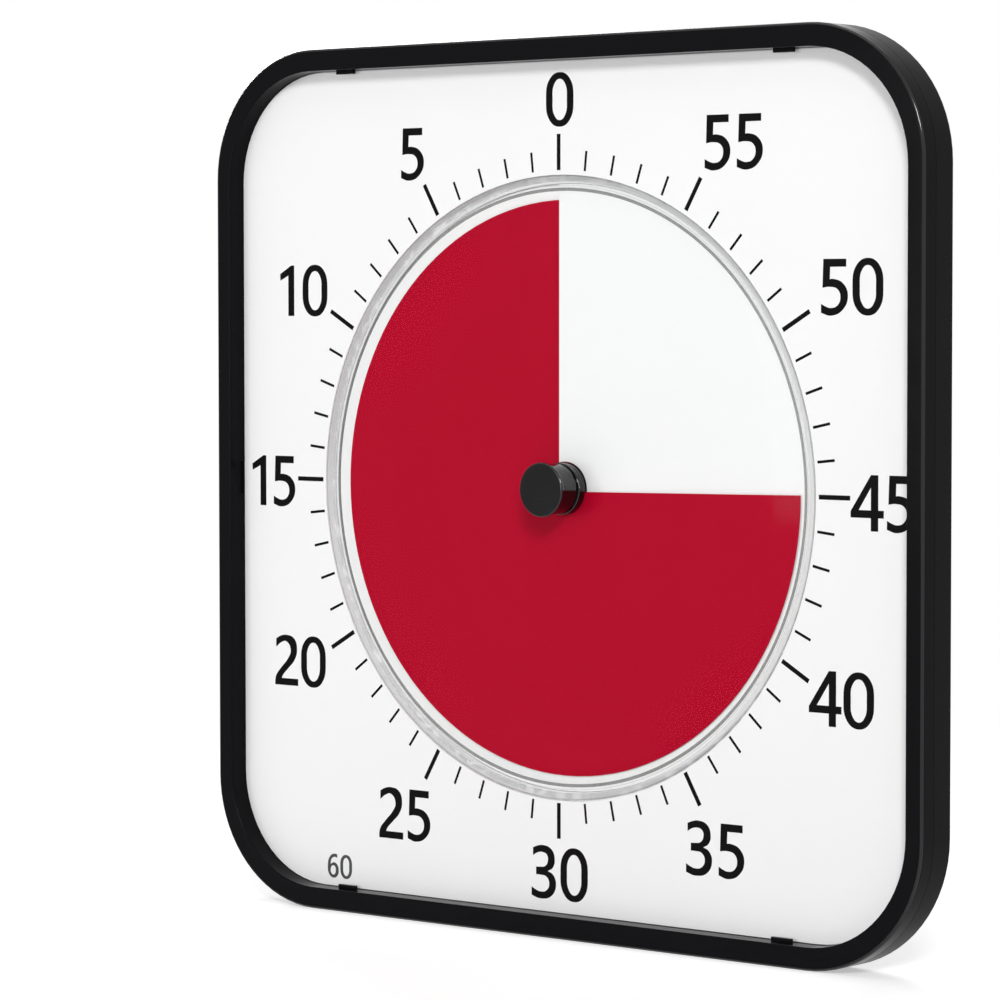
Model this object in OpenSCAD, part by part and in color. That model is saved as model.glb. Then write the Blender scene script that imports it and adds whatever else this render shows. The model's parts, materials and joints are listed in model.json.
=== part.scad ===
// Visual countdown timer: a square, free-standing dial whose red disc shrinks as the time runs down.
// X runs to the right, Z up, and the front faces -Y. The origin is the middle of the base.
// Depths are measured backwards from the front plane of the frame.

/* [Frame] */
// Width of the frame
frame_w = 432; // [410:1:520]
// Height of the frame
frame_h = 432; // [410:1:520]
// Outer corner radius of the frame
corner_r = 64; // [50:1:80]
// Width of the frame's front band
band_w = 9.2; // [8.8:0.1:14]
// Width of the front band at the top and bottom
band_h = 10.9; // [8.8:0.1:14]
// Depth of the front bezel, from its front to the seam
bezel_d = 9; // [7.5:0.5:10]
// Gap at the seam between bezel and rear shell
seam_gap = 0.3; // [0.1:0.05:0.8]
// Wall thickness of the mouldings' sides
side_wall = 2.2; // [1.6:0.1:2.6]
// Thickness of the bezel's inner wall
inner_wall = 2; // [1.4:0.1:2.2]
// Thickness of the rear shell's back
back_wall = 2; // [1.4:0.1:3]
// Air gap between the dial tray and the rear shell's back
back_space = 1.75; // [0.8:0.05:4]
// Radius of the bezel's outer front edge
front_edge_r = 1.6; // [0.5:0.1:2]
// Radius of the rear shell's edges
rear_edge_r = 1.8; // [0.5:0.1:2]

/* [Scale card] */
// Depth of the card's face behind the frame's front
face_d = 10.3; // [9.6:0.1:14]
// Thickness of the card
card_t = 1; // [0.4:0.1:2]
// Gap between the card's edge and the bezel
card_gap = 0.3; // [0.2:0.1:1.5]
// Radius of the card's round window
window_r = 150.6; // [142:0.2:165]
// Distance of the card tabs from where the frame's corners begin
tab_in = 18; // [10:1:60]
// Width of a card tab
tab_w = 11.2; // [6:0.1:20]
// Thickness of a card tab
tab_t = 1.8; // [1:0.1:2.5]
// How far a card tab reaches in from the bezel
tab_reach = 1.8; // [1:0.1:5]
// Height of the prying slot in each side of the bezel
pry_h = 16.5; // [8:0.5:30]
// Depth of the prying slot into the bezel's inner wall
pry_cut = 1.1; // [0.5:0.1:1.3]

/* [Dial tray and lens] */
// Thickness of the tray's plate
tray_t = 2; // [1.5:0.1:2.6]
// Thickness of the tray's round floor
floor_t = 1.5; // [1:0.1:3]
// Width of the lens rim's sloping band
rim_w = 6.4; // [5:0.1:9]
// How far the lens's window lies behind the card's face
recess = 2.4; // [1.6:0.1:3.5]
// Thickness of the lens's window
lens_t = 1.2; // [0.8:0.1:2]
// Depth of the lens's rim
rim_d = 4.6; // [4.2:0.1:6]
// Gap around the lens in its seat
lens_gap = 0.3; // [0.1:0.05:0.6]

/* [Discs] */
// Radius of the red disc
red_r = 138.8; // [120:0.2:141]
// Thickness of both thin discs
sheet_t = 0.25; // [0.15:0.05:0.4]
// Distance between one layer of a wound disc and the next, over a full turn
pitch = 2; // [1.6:0.1:3]
// Clearance in front of and behind the discs
sheet_gap = 0.3; // [0.2:0.05:1]
// Minutes that the dial is set to
set_minutes = 45; // [0:1:60]
// How far the red disc's leading edge lies below the radius at the middle
lead_offset = 1.5; // [0:0.1:3]
// Angle of the leading edge off the radius, in degrees
lead_skew = 0.9; // [0:0.1:2]
// How far the white dial's slot edge stands left of the middle
slot_offset = 3.6; // [0:0.1:5]

/* [Knob] */
// Radius of the knob's head
knob_r = 13.1; // [12.5:0.05:16]
// How far the knob stands out of the frame's front
knob_proud = 3.8; // [0:0.1:8]
// Thickness of the knob's head
head_t = 2.2; // [1.8:0.1:5]
// Radius of the knob's barrel
barrel_r = 12.1; // [9:0.1:12.3]
// Radius of the hub that carries the red disc
hub_r = 12.5; // [11:0.1:14]
// Radius of the spindle
spindle_r = 2.5; // [2:0.1:3.5]
// Radial running clearance of shafts in holes
running = 0.05; // [0.02:0.01:0.09]

/* [Gear train] */
// Gear module
gear_mod = 0.6; // [0.5:0.05:0.7]
// Teeth of the main wheel
main_teeth = 64; // [60:1:72]
// Teeth of the second wheel's pinion
second_leaves = 16; // [14:1:18]
// Teeth of the second wheel
second_teeth = 60; // [50:1:62]
// Teeth of the third wheel's pinion
third_leaves = 15; // [12:1:16]
// Teeth of the third wheel
third_teeth = 50; // [44:1:56]
// Teeth of the motor pinion
motor_leaves = 10; // [10:1:14]
// Thickness of the main wheel
main_t = 2; // [1.4:0.1:3]
// Thickness of the second and third wheels
wheel_t = 1.6; // [1:0.1:2.4]
// Radius of the gear pins
gear_pin_r = 1; // [0.8:0.1:1.4]
// Radius of the motor's can
motor_r = 10; // [8:0.5:11]
// Thickness of the gearbox plates
plate_t = 1.5; // [1:0.1:2.5]

/* [Electrics] */
// Width of the circuit board
board_w = 48; // [46:1:70]
// Height of the circuit board
board_h = 58; // [52:1:62]
// Thickness of the circuit board
board_t = 1.6; // [0.8:0.1:2]
// Radius of the loudspeaker
speaker_r = 20; // [16:0.5:22]
// Radius of a battery
cell_r = 7.2; // [7:0.1:7.3]
// Length of a battery with its nub
cell_l = 50.5; // [49:0.1:51]
// Number of batteries
cells = 3; // [2:1:3]
// Radius of the volume wheel
volume_r = 10; // [9:0.5:12]
// Travel between two places of the range switch
range_step = 4; // [3:0.5:4.5]

/* [Rear housing] */
// Thickness of the housing's walls
wall = 2; // [1.4:0.1:2.6]
// Gap between the parts inside the housing
part_gap = 2; // [1:0.5:5]
// Clearance of the battery door
door_gap = 0.3; // [0.15:0.05:0.6]
// Distance of the wall hangers from the middle
hanger_x = 100; // [60:1:130]
// Distance of the wall hangers below the frame's top
hanger_drop = 50; // [40:1:60]
// Radius of a hanger's round hole
hanger_r = 4.5; // [3.5:0.1:5.5]

/* [Feet] */
// Distance of the feet's pins from the frame's sides
foot_in = 106; // [90:1:112]
// Length of a foot, from its pin
foot_l = 80; // [50:1:90]
// Height of a foot
foot_h = 22; // [18:0.5:26]
// Thickness of a foot
foot_t = 6; // [4:0.5:6.5]
// Radius of a foot's pin
foot_pin_r = 1.5; // [1:0.1:2]

/* [Fasteners] */
// Radius of the case screws' shanks
screw_r = 1.25; // [1:0.05:1.5]
// Radius of the case screws' heads
screw_head_r = 2.5; // [2.2:0.1:3]
// Distance of the case screws from where the frame's corners begin
screw_in = 12; // [8:1:20]

/* [Hidden] */
$fn = 96;

// Clearances and small common sizes
over = 1; // how far a cut runs past the face that it opens
snug = 0.02; // clearance of a part that is pressed or glued in place
seat_gap = 0.3; // clearance of a part in its pocket
edge_steps = 6; // steps of a rounded edge

// Places along the frame's straight sides
side_x = frame_w / 2 - corner_r;
side_z = frame_h / 2 - corner_r;
tab_x = side_x - tab_in;

// Opening in the front band
opening_w = frame_w - 2 * band_w;
opening_h = frame_h - 2 * band_h;
opening_r = corner_r - min(band_w, band_h);
opening_edge = 0.6; // rounded edge of the opening

// Depths through the dial, from the front backwards
dial_z = frame_h / 2;
knob_d0 = -knob_proud;
tray_d0 = face_d + card_t;
tray_d1 = tray_d0 + tray_t;
window_d0 = face_d + recess;
window_d1 = window_d0 + lens_t;
lip_d = 0.1; // how far the lens's lip lies behind the card's face
lip_w = 0.9; // width of that lip
lens_d0 = face_d + lip_d;
lens_d1 = lens_d0 + rim_d;
lens_r = window_r - lens_gap;
rim_r = lens_r - rim_w;
skirt_w = 3; // wall of the lens's rim
red_mid = window_d1 + sheet_gap + sheet_t / 2 + pitch; // red disc's depth at 0 minutes
sheets_d1 = red_mid + pitch + sheet_t / 2;
floor_d0 = sheets_d1 + sheet_gap;
floor_d1 = floor_d0 + floor_t;
back_d0 = floor_d1 + back_space;
frame_d = back_d0 + back_wall;
mid_d = frame_d / 2; // depth at which Y is 0

// Tray
ledge_w = 4; // width of the ledge under the lens's rim
well_r = window_r - ledge_w;
ring_t = 2; // wall of the tray's round well
dial_r = well_r - seat_gap;
tray_inset = side_wall + seat_gap;

sheet_steps = 120; // facets round a wound disc

// Knob and hub
hub_d0 = face_d;
hub_d1 = sheets_d1;
neck_r = barrel_r - 0.9;
neck_w = 1.9; // groove between barrel and hub
head_edge = 0.8; // rounded edge of the knob's head
barrel_d0 = knob_d0 + head_t;
spindle_d0 = knob_d0 + 4;
lens_hole_r = max(hub_r, barrel_r) + 0.6;
red_hole_r = hub_r + 0.1;
dial_hole_r = hub_r + 0.5;
set_angle = 6 * set_minutes;

// Spindle's bush in the tray floor
bush_r = 5;
bush_flange_r = 7;
bush_flange_t = 1;

// Gearbox depths
wire_space = 2.75; // room for leads in front of the gearbox
cover_d0 = floor_d1 + wire_space;
cover_d1 = cover_d0 + plate_t;
end_gap = 0.3; // end play between turning parts
hub_flange_t = 1;
hub_flange_r = 7;
clutch_r = 3.6;
spring_t = 0.4;
clip_t = 0.4;
clip_r = 5;
clutch_d0 = cover_d1 + end_gap;
main_d0 = clutch_d0 + hub_flange_t;
main_d1 = main_d0 + main_t;
spring_d1 = main_d1 + spring_t;
clip_d1 = spring_d1 + clip_t;
second_d0 = clip_d1 + end_gap;
second_d1 = second_d0 + wheel_t;
third_d0 = second_d1 + 2 * end_gap;
third_d1 = third_d0 + wheel_t;
base_d0 = third_d1 + 2 * end_gap;
base_d1 = base_d0 + plate_t;
motor_d0 = cover_d1 + 0.1;
motor_d1 = second_d1 - end_gap;
rear_clip_d0 = base_d1 + 0.1;
spindle_d1 = rear_clip_d0 + clip_t + 0.4;

// Gear places in front view, from the dial's middle
tip = 0.9; // tooth height outside the pitch circle, in modules
root = 1.3; // tooth depth inside it
function pitch_r(teeth) = gear_mod * teeth / 2;
function tip_r(teeth) = pitch_r(teeth) + tip * gear_mod;
function polar(r, a) = [r * cos(a), r * sin(a)];
second_a = 150; // direction from the main wheel to the second wheel
third_a = 210; // direction from the second wheel to the third
motor_a = 270; // direction from the third wheel to the motor
second_at = polar(pitch_r(main_teeth + second_leaves), second_a);
third_at = second_at + polar(pitch_r(second_teeth + third_leaves), third_a);
motor_at = third_at + polar(pitch_r(third_teeth + motor_leaves), motor_a);
function meshed(a, teeth_1, turn_1, teeth_2) =
    a + 180 - 360 / teeth_2 * (0.5 - (a - turn_1) * teeth_1 / 360);
second_turn = meshed(second_a, main_teeth, 0, second_leaves);
third_turn = meshed(third_a, second_teeth, second_turn, third_leaves);
motor_turn = meshed(motor_a, third_teeth, third_turn, motor_leaves);

// Gearbox outline in front view
post_r = 2.5;
box_margin = 2 * post_r + 1;
box_x0 = floor(min(third_at[0] - tip_r(third_teeth), motor_at[0] - motor_r,
    second_at[0] - tip_r(second_teeth))) - 1;
box_x1 = ceil(tip_r(main_teeth) + box_margin);
box_z0 = floor(min(motor_at[1] - motor_r, -tip_r(main_teeth))) - 1;
box_z1 = ceil(second_at[1] + tip_r(second_teeth) + box_margin / 2);
post_inset = post_r + 0.5;
posts = [
    [box_x0 + post_inset, box_z1 - post_inset], [box_x1 - post_inset, box_z1 - post_inset],
    [box_x1 - post_inset, box_z0 + post_inset], [motor_at[0] + motor_r + 2 * post_r, box_z0 + post_inset]
];

// Battery compartment
comp_d0 = floor_d1 + seat_gap;
rib_t = 1.5;
cell_gap = 0.2;
cell_d0 = comp_d0 + rib_t + cell_gap;
cell_pitch = 2 * cell_r + 2 * cell_gap;
contact_w = 3.5; // room for a contact at each end of the batteries
comp_w = cell_l + 2 * contact_w;
comp_h = cells * cell_pitch + cell_gap;
comp_x0 = box_x0;
comp_x1 = comp_x0 + comp_w;
comp_z1 = box_z0 - part_gap - rib_t;
comp_z0 = comp_z1 - comp_h;
comp_mid = (comp_z0 + comp_z1) / 2;
cell_mid_d = cell_d0 + cell_r;
cell_mid_x = (comp_x0 + comp_x1) / 2;
function cell_z(i) = comp_z1 - cell_gap - cell_pitch / 2 - i * cell_pitch;
function cell_way(i) = i % 2 == 0 ? 1 : -1;
rear_in = max(base_d1 + rib_t, cell_d0 + 2 * cell_r + cell_gap);
rear_d = rear_in + wall;

// Batteries' ends and their contacts
nub_l = 1.2;
nub_r = 2.7;
contact_t = 0.4;
contact_half = cell_r - 1.7;
spring_r = 4;
spring_wire_r = 0.35;
spring_turns = 3;
spring_sides = 6;
spring_ring = 14;

// Circuit board and what is on it
lead_d = floor_d1 + 1.3; // depth at which leads cross in front of the gearbox
board_x0 = box_x1 + part_gap;
board_x1 = board_x0 + board_w;
board_z1 = box_z1;
board_z0 = board_z1 - board_h;
board_d0 = cover_d1 - 0.5;
board_d1 = board_d0 + board_t;
board_post_r = 3;
board_posts = [
    [board_x0 + board_post_r + 1, board_z1 - board_post_r - 1],
    [board_x1 - board_post_r - 1, board_z1 - board_post_r - 1],
    [board_x0 + board_post_r + 1, board_z0 + board_post_r + 1],
    [board_x1 - board_post_r - 1, board_z0 + board_post_r + 1]
];
speaker_x = max(comp_x1 + rib_t + part_gap + speaker_r, board_x0 + 2 * board_post_r);
speaker_z = comp_mid;
speaker_t = 7;

// Housing
in_x0 = floor(min(box_x0, comp_x0) - part_gap - rib_t);
in_x1 = ceil(max(board_x1, speaker_x + speaker_r) + part_gap);
in_z0 = floor(comp_z0);
in_z1 = ceil(max(box_z1, board_z1) + part_gap);
housing_r = 6;
rim_overlap = 5; // width of the swept rim of a solid
house_w = in_x1 - in_x0 + 2 * wall;
house_h = in_z1 - in_z0 + 2 * wall;
house_x = (in_x0 + in_x1) / 2;
house_z = (in_z0 + in_z1) / 2;

// Controls
volume_x = in_x1 + wall + 3 - volume_r;
volume_z = board_z0 + board_h / 2;
volume_t = 3;
volume_d0 = board_d1 + 4;
pot_w = 9;
switch_x = board_x0 + board_w / 2;
switch_z = board_z1 - 16;
switch_places = 4;
switch_rest = 2; // place of the switch at rest, counted from 0
switch_w = 5;
switch_h = 4;
slide_w = (switch_places - 1) * range_step + switch_w;
switch_body_d1 = rear_in - 3.2;

// Battery door
door_lap = 2; // how far the door's edge runs behind the housing's wall
door_x0 = comp_x0 + door_lap;
door_x1 = comp_x1 - door_lap;
door_z1 = comp_z1 - 1;
door_z0 = in_z0 - wall;
door_rail_t = 1.2;
door_rail_d0 = rear_in - door_gap - door_rail_t;
door_web_w = 1;

// Feet
pocket_wall = 1.5;
pocket_d0 = tray_d1 + 0.2 + pocket_wall;
foot_x = frame_w / 2 - foot_in;
foot_gap = 0.5;
barrel_foot_r = (frame_d - pocket_d0) / 2 - foot_gap;
foot_pin_d = frame_d - foot_gap - barrel_foot_r;
foot_rise = 0.8; // height of the foot's underside above the table
foot_lug_h = 5.6;
pocket_h = foot_h + 2.5;
barrel_z0 = foot_lug_h + seat_gap;
barrel_z1 = pocket_h - 4.1 - seat_gap;
foot_root = barrel_foot_r + 1.5; // where the foot's full height starts
pocket_in = foot_x - foot_l - 1.5;
pocket_out = foot_x + barrel_foot_r + 1;
foot_tip_h = 12;
pad_r = 2.9;
pad_wall = 1;
pad_boss_h = 3;
pad_t = 2;
pad_at = foot_l - 9;

// Case screws
boss_r = (min(band_w, band_h) - side_wall - inner_wall) / 2;
boss_inset = side_wall + boss_r;
screw_d0 = 3.2;
head_seat = tray_d1 + 4.5;
head_h = 1.8;
post_wall = 1.4;
case_post_r = screw_head_r + seat_gap + post_wall;
screw_x = frame_w / 2 - boss_inset;
screw_z = frame_h / 2 - boss_inset;
case_screw_at = [for (s = [-1, 1], t = [-1, 1], p = [[s * screw_x, t * (side_z - screw_in)],
    [s * (side_x - screw_in), t * screw_z]]) p];

// ---------------------------------------------------------------- shared shapes

// Extrudes an X-Z outline from depth d0 to depth d1
module slab(d0, d1) {
    translate([0, d1 - mid_d, 0]) rotate([90, 0, 0]) linear_extrude(d1 - d0) children();
}

// The same, with the outline measured from the dial's middle
module dial_slab(d0, d1) {
    slab(d0, d1) translate([0, dial_z]) children();
}

// Turns a [radius, depth] profile about the dial's axis, or about an axis beside it
module turned(at = [0, 0]) {
    translate([at[0], -mid_d, dial_z + at[1]]) rotate([-90, 0, 0]) rotate_extrude() children();
}

// Round bar along the depth, from d0 to d1
module bar(r, d0, d1, at = [0, 0]) {
    turned(at) translate([0, d0]) square([r, d1 - d0]);
}

// Rounded rectangle about the origin
module rounded(w, h, r) {
    square([w - 2 * r, h], center = true);
    square([w, h - 2 * r], center = true);
    for (x = [-1, 1], z = [-1, 1])
        translate([x * (w / 2 - r), z * (h / 2 - r)]) circle(r);
}

// The frame's outline, moved inwards by an inset
module frame_outline(inset = 0) {
    rounded(frame_w - 2 * inset, frame_h - 2 * inset, corner_r - inset);
}

// The opening's outline, moved inwards by an inset
module opening_outline(inset = 0) {
    rounded(opening_w - 2 * inset, opening_h - 2 * inset, opening_r - inset);
}

// Rectangle from its two corners
module area(x0, z0, x1, z1) {
    translate([x0, z0]) square([x1 - x0, z1 - z0]);
}

// Sweeps an [inset, depth] profile round a rounded rectangle whose middle is at the given place
module round_sweep(w, h, r, at = [0, 0]) {
    translate([at[0], -mid_d, dial_z + at[1]]) rotate([-90, 0, 0]) {
        for (q = [0:3]) {
            half = q % 2 == 0 ? [w / 2 - r, h / 2 - r] : [h / 2 - r, w / 2 - r];
            rotate(90 * q) {
                translate(half) rotate_extrude(angle = 90) translate([r, 0]) mirror([1, 0]) children();
                translate([half[0], half[1], 0]) rotate([90, 0, 0])
                    linear_extrude(2 * half[1]) translate([r, 0]) mirror([1, 0]) children();
            }
        }
    }
}

// Points of a rounded edge about a centre
function arc(c, r, a0, a1) =
    [for (i = [0:edge_steps]) c + polar(r, a0 + (a1 - a0) * i / edge_steps)];

// Gear outline with straight flanks
function tooth(teeth, i, turn) =
    let (step = 360 / teeth, a = turn + i * step, r0 = pitch_r(teeth) - root * gear_mod)
    [for (p = [[r0, -0.27], [tip_r(teeth), -0.1], [tip_r(teeth), 0.1], [r0, 0.27]])
        polar(p[0], a + p[1] * step)];

module gear(teeth, turn = 0) {
    polygon([for (i = [0:teeth - 1]) each tooth(teeth, i, turn)]);
}

// Wound thin disc: depth falls evenly with the angle, which counts anticlockwise from the top
module wound_sheet(r0, r1, from_in, to_in, from_out, to_out, mid) {
    function place(r, a, side) = [-r * sin(a),
        mid - pitch * a / 360 + side * sheet_t / 2 - mid_d, dial_z + r * cos(a)];
    points = [for (i = [0:sheet_steps])
        let (t = i / sheet_steps, a = from_in + (to_in - from_in) * t, b = from_out + (to_out - from_out) * t)
        each [place(r0, a, -1), place(r1, b, -1), place(r1, b, 1), place(r0, a, 1)]];
    last = 4 * sheet_steps;
    sides = [for (i = [0:sheet_steps - 1], k = [0:3])
        let (p = 4 * i + k, q = 4 * i + (k + 1) % 4) each [[p, p + 4, q + 4], [p, q + 4, q]]];
    polyhedron(points, concat([[0, 1, 2], [0, 2, 3]], sides,
        [[last, last + 2, last + 1], [last, last + 3, last + 2]]));
}

// Lead or wire through a list of [x, depth, z] places
module wire(places, r = 0.6) {
    for (i = [0:len(places) - 2]) {
        a = places[i];
        step = places[i + 1] - a;
        translate([a[0], a[1] - mid_d, dial_z + a[2]])
            rotate([0, acos(step[2] / norm(step)), atan2(step[1], step[0])]) cylinder(r = r, h = norm(step));
    }
    for (i = [1:len(places) - 2])
        translate([places[i][0], places[i][1] - mid_d, dial_z + places[i][2]]) sphere(r);
}

// Two leads side by side
module lead_pair(places, apart = [2, 0, 0]) {
    wire(places);
    wire([for (p = places) p + apart]);
}

// Upright round bar at a foot's pin
module upright(r, z0, z1, out = 0) {
    translate([foot_x + out, foot_pin_d - mid_d, z0]) cylinder(r = r, h = z1 - z0);
}

// ---------------------------------------------------------------- front

module front_bezel() {
    color([0.03, 0.03, 0.035]) difference() {
        union() {
            round_sweep(frame_w, frame_h, corner_r) polygon(concat(
                arc([front_edge_r, front_edge_r], front_edge_r, 180, 270),
                [[rim_overlap, 0], [rim_overlap, side_wall], [side_wall, side_wall], [side_wall, bezel_d],
                    [0, bezel_d]]));
            dial_slab(0, side_wall) difference() {
                frame_outline(rim_overlap - over);
                opening_outline(over - inner_wall);
            }
            round_sweep(opening_w + 2 * inner_wall, opening_h + 2 * inner_wall, opening_r + inner_wall)
                polygon(concat([[0, 0]], arc([inner_wall - opening_edge, opening_edge], opening_edge, -90, 0),
                    [[inner_wall, tray_d0], [0, tray_d0]]));
            for (x = [-1, 1], z = [-1, 1])
                dial_slab(face_d - tab_t - 1.8, face_d - 1.8)
                    translate([x * tab_x - tab_w / 2, z * (opening_h + inner_wall - tab_reach) / 2
                        - (tab_reach + inner_wall) / 2]) square([tab_w, tab_reach + inner_wall]);
            for (at = case_screw_at) {
                bar(boss_r + 0.15, side_wall - 0.1, bezel_d - 0.5, at);
                bar(boss_r - seat_gap, bezel_d - 0.6, tray_d0, at);
            }
        }
        for (at = case_screw_at) bar(screw_r + running, screw_d0 - 0.4, tray_d0 + over, at);
        for (x = [-1, 1]) dial_slab(face_d - 5, face_d - 0.6)
            translate([x * opening_w / 2, 0]) square([2 * pry_cut, pry_h], center = true);
    }
}

module scale_card() {
    color([0.95, 0.95, 0.96]) dial_slab(face_d, tray_d0) difference() {
        opening_outline(card_gap);
        circle(window_r);
    }
}

module dial_tray() {
    color([0.9, 0.9, 0.9]) {
        dial_slab(tray_d0, tray_d1) difference() {
            frame_outline(tray_inset);
            circle(window_r + ring_t / 2);
            for (at = case_screw_at) translate(at) circle(screw_r + 0.3);
        }
        turned() polygon([
            [window_r, tray_d0], [window_r + ring_t, tray_d0], [window_r + ring_t, lens_d1 + ring_t],
            [well_r + ring_t, lens_d1 + ring_t], [well_r + ring_t, floor_d1],
            [bush_r + snug, floor_d1], [bush_r + snug, floor_d0], [well_r, floor_d0],
            [well_r, lens_d1], [window_r, lens_d1]]);
    }
}

module lens() {
    color([0.85, 0.9, 0.9, 0.35]) turned() polygon([
        [lens_hole_r, window_d0], [rim_r, window_d0], [lens_r - lip_w, lens_d0], [lens_r, lens_d0],
        [lens_r, lens_d1], [lens_r - skirt_w, lens_d1], [lens_r - skirt_w, window_d1],
        [lens_hole_r, window_d1]]);
}

module slotted_dial() {
    color([0.95, 0.96, 0.95]) wound_sheet(dial_hole_r, dial_r,
        0, 360 + asin(slot_offset / dial_hole_r), 0, 360 + asin(slot_offset / dial_r), red_mid + pitch / 2);
}

module red_disc() {
    lead_in = set_angle + lead_skew - asin(lead_offset / red_hole_r);
    lead_out = set_angle + lead_skew - asin(lead_offset / red_r);
    color([0.68, 0.06, 0.15]) wound_sheet(red_hole_r, red_r,
        set_angle - 360, lead_in, set_angle - 360, lead_out, red_mid);
}

// ---------------------------------------------------------------- knob and spindle

module knob() {
    color([0.05, 0.05, 0.055]) turned() polygon(concat(
        [[0, knob_d0]], arc([knob_r - head_edge, knob_d0 + head_edge], head_edge, -90, 0),
        [[knob_r, barrel_d0 - head_edge], [barrel_r, barrel_d0], [barrel_r, hub_d0 - neck_w],
            [neck_r, hub_d0 - neck_w], [neck_r, hub_d0], [spindle_r + snug, hub_d0],
            [spindle_r + snug, spindle_d0], [0, spindle_d0]]));
}

module disc_hub() {
    color([0.05, 0.05, 0.055]) turned() polygon([
        [spindle_r + snug, hub_d0], [hub_r - 0.4, hub_d0], [hub_r, hub_d0 + 0.4], [hub_r, hub_d1],
        [spindle_r + snug, hub_d1]]);
}

module spindle() {
    color([0.7, 0.7, 0.72]) turned() polygon([
        [0, spindle_d0], [spindle_r - 0.4, spindle_d0], [spindle_r, spindle_d0 + 0.4],
        [spindle_r, spindle_d1 - 0.4], [spindle_r - 0.4, spindle_d1], [0, spindle_d1]]);
}

module spindle_bush() {
    color([0.8, 0.62, 0.3]) turned() polygon([
        [spindle_r + running, floor_d0], [bush_r, floor_d0], [bush_r, floor_d1],
        [bush_flange_r, floor_d1], [bush_flange_r, floor_d1 + bush_flange_t],
        [spindle_r + running, floor_d1 + bush_flange_t]]);
}

module spindle_clips() {
    color([0.5, 0.5, 0.52]) for (d = [spring_d1, rear_clip_d0]) turned()
        translate([spindle_r + snug, d]) square([clip_r - spindle_r, clip_t]);
}

module clutch_hub() {
    color([0.8, 0.62, 0.3]) turned() polygon([
        [spindle_r + snug, clutch_d0], [hub_flange_r, clutch_d0], [hub_flange_r, main_d0],
        [clutch_r, main_d0], [clutch_r, spring_d1], [spindle_r + snug, spring_d1]]);
}

module clutch_spring() {
    lip = 0.12; // thickness of the spring's metal
    color([0.75, 0.75, 0.76]) turned() polygon([
        [clutch_r + 0.1, spring_d1 - lip], [hub_flange_r, main_d1], [hub_flange_r, main_d1 + lip],
        [clutch_r + 0.1, spring_d1]]);
}

// ---------------------------------------------------------------- gearbox

module main_wheel() {
    color([0.93, 0.92, 0.86]) dial_slab(main_d0, main_d1) difference() {
        gear(main_teeth);
        circle(clutch_r + running);
        for (i = [0:4]) rotate(72 * i) translate([(hub_flange_r + pitch_r(main_teeth)) / 2, 0]) circle(3.2);
    }
}

// A wheel with its pinion on one moulding
module arbor(at, teeth, leaves, turn, pinion_d0, wheel_d0) {
    dial_slab(wheel_d0, wheel_d0 + wheel_t) translate(at) difference() {
        gear(teeth, turn);
        circle(gear_pin_r + running);
        for (i = [0:3]) rotate(90 * i + turn) translate([0.6 * pitch_r(teeth), 0]) circle(0.16 * pitch_r(teeth));
    }
    dial_slab(pinion_d0, wheel_d0) translate(at) difference() {
        gear(leaves, turn);
        circle(gear_pin_r + running);
    }
}

module second_wheel() {
    color([0.93, 0.92, 0.86])
        arbor(second_at, second_teeth, second_leaves, second_turn, main_d0 - 0.2, second_d0);
}

module third_wheel() {
    color([0.93, 0.92, 0.86])
        arbor(third_at, third_teeth, third_leaves, third_turn, second_d0 - 0.2, third_d0);
}

module gear_pins() {
    color([0.7, 0.7, 0.72]) for (at = [second_at, third_at])
        bar(gear_pin_r, cover_d0 + 0.5, base_d1 - 0.5, at);
}

module box_plate() {
    difference() {
        area(box_x0, box_z0, box_x1, box_z1);
        circle(spindle_r + running);
        for (at = [second_at, third_at]) translate(at) circle(gear_pin_r + snug);
        for (at = posts) translate(at) circle(screw_r - 0.2 + running);
    }
}

module gearbox_cover() {
    color([0.85, 0.85, 0.83]) dial_slab(cover_d0, cover_d1) box_plate();
}

module gearbox_base() {
    color([0.8, 0.8, 0.78]) {
        dial_slab(base_d0, base_d1) box_plate();
        for (at = posts) dial_slab(cover_d1, base_d0 + 0.1) translate(at) difference() {
            circle(post_r);
            circle(screw_r - 0.2 + running);
        }
    }
}

module pan_screw(at, seat, l, r, head) {
    bar(r, seat - 0.01, seat + l, at);
    turned(at) polygon([[0, seat - head], [1.6 * r, seat - head], [2 * r, seat - head / 2], [2 * r, seat], [0, seat]]);
}

module gearbox_screws() {
    color([0.6, 0.6, 0.62]) for (at = posts) pan_screw(at, cover_d0, base_d1 - cover_d0, screw_r - 0.2, 1.2);
}

module drive_motor() {
    color([0.72, 0.73, 0.75]) difference() {
        union() {
            bar(motor_r, motor_d0, motor_d1, motor_at);
            bar(2.4, motor_d1 - 0.1, motor_d1 + 0.2, motor_at);
        }
        bar(0.75 + running, motor_d1 - 3, motor_d1 + over, motor_at);
    }
}

module motor_pinion() {
    color([0.8, 0.62, 0.3]) {
        dial_slab(third_d0 - 0.15, third_d1 + 0.15) translate(motor_at) gear(motor_leaves, motor_turn);
        bar(0.75, motor_d1 - 2.8, third_d0, motor_at);
    }
}

module motor_leads() {
    x = motor_at[0] - 1;
    z = box_z0 - 1;
    color([0.75, 0.1, 0.1]) lead_pair([
        [x, motor_d0 + 2, motor_at[1] - motor_r - snug], [x, motor_d0 + 2, z], [x, lead_d, z],
        [board_x0 + 5, lead_d, z], [board_x0 + 5, lead_d, board_z0 + 8], [board_x0 + 5, board_d0, board_z0 + 8]]);
}

// ---------------------------------------------------------------- electrics

module circuit_board() {
    color([0.08, 0.3, 0.16]) dial_slab(board_d0, board_d1) difference() {
        area(board_x0, board_z0, board_x1, board_z1);
        for (at = board_posts) translate(at) circle(screw_r - 0.2 + running);
    }
}

// Block on the board's rear face, about its middle
module on_board(at, w, h, t) {
    dial_slab(board_d1, board_d1 + t) translate(at) square([w, h], center = true);
}

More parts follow.
